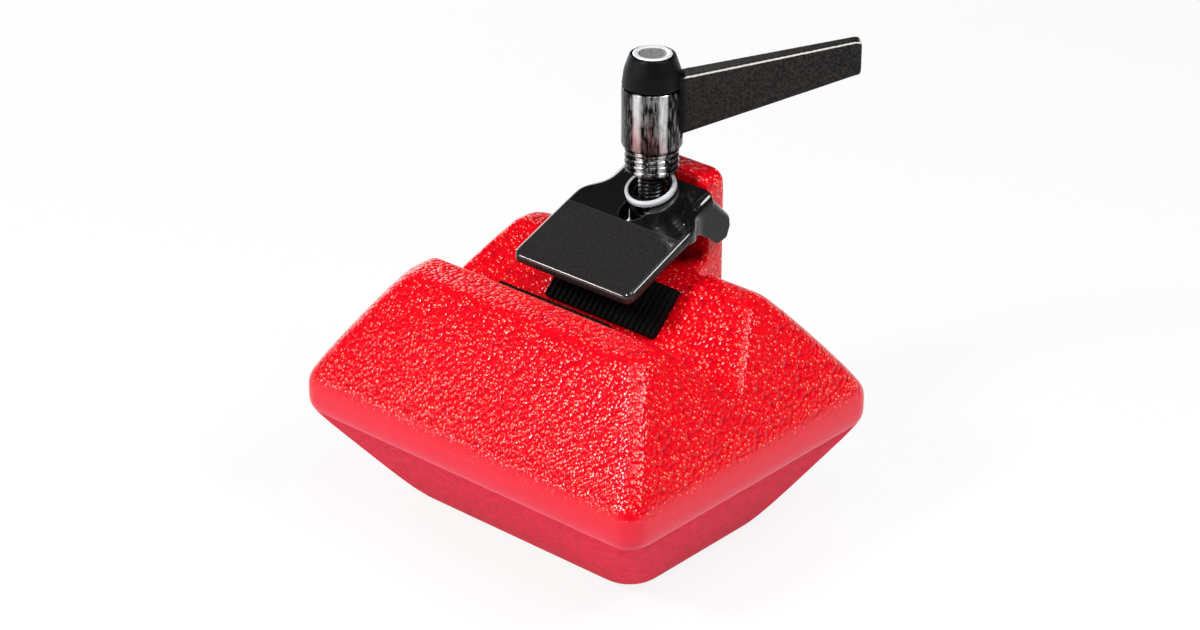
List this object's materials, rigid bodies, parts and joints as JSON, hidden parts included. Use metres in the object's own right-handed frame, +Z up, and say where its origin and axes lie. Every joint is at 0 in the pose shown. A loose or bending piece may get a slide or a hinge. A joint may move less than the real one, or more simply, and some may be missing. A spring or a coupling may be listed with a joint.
{
  "type": "clamp-on stage weight",
  "caption": "Counterweight with a V groove for a tube, held by a stamped plate that a screw with an indexing lever pulls down.",
  "frame": {"origin": "middle of the flat base, on the surface that the weight stands on", "axes": "+X along the groove for the tube, +Y towards the post and the screw, +Z up"},
  "size_m": [0.1306, 0.1255, 0.1404],
  "materials": {
    "cast_red": "rough cast iron under gloss red enamel",
    "pad_rubber": "ribbed black rubber",
    "plate_black": "satin black coated pressed steel",
    "washer_chrome": "bright chrome",
    "turned_steel": "turned and polished steel",
    "spring_steel": "oiled spring steel wire",
    "stud_steel": "blackened steel thread",
    "lever_black": "matte black powder coated die casting",
    "cap_black": "moulded cap with a bright worn rim"
  },
  "bodies": {
    "weight": {"weight_body": "cast_red", "front_jaw_pad": "pad_rubber", "rear_jaw_pad": "pad_rubber", "lift_spring": "spring_steel"},
    "stud": {"lever_stud": "stud_steel"},
    "hub": {"lever_insert": "turned_steel", "lever_screw": "turned_steel", "lever_spring": "spring_steel"},
    "lever": {"lever_sleeve": "turned_steel", "lever_handle": "lever_black", "lever_cap": "cap_black"},
    "seat": {"spring_washer": "turned_steel"},
    "clamp": {"clamp_plate": "plate_black", "dished_washer": "washer_chrome"}
  },
  "joints": [
    {"name": "lever_travel", "type": "slide", "parent": "weight", "child": "stud", "axis": [0, 0, -1], "range_m": [-0.0025, 0.00875]},
    {"name": "lever_turn", "type": "hinge", "parent": "stud", "child": "hub", "pos_m": [0, 0.0291, 0.1], "axis": [0, 0, -1], "range_deg": [-721, 2521]},
    {"name": "lever_lift", "type": "slide", "parent": "hub", "child": "lever", "axis": [0, 0, 1], "range_m": [0, 0.004], "stiffness_N_per_m": 800, "springref_m": -0.003, "deforming": ["lever_spring"]},
    {"name": "plate_travel", "type": "slide", "parent": "weight", "child": "seat", "axis": [0, 0, -1], "range_m": [-0.0019, 0.0065], "stiffness_N_per_m": 100, "springref_m": -0.0039, "deforming": ["lift_spring"]},
    {"name": "plate_tilt", "type": "hinge", "parent": "seat", "child": "clamp", "pos_m": [0, 0.0291, 0.092], "axis": [1, 0, 0], "range_deg": [-14, 0]}
  ],
  "couplings": [
    {"joint": "lever_turn", "follows": "lever_travel", "rad_per_m": 5026.5},
    {"joint": "plate_travel", "follows": "lever_travel", "ratio": 0.73143}
  ]
}
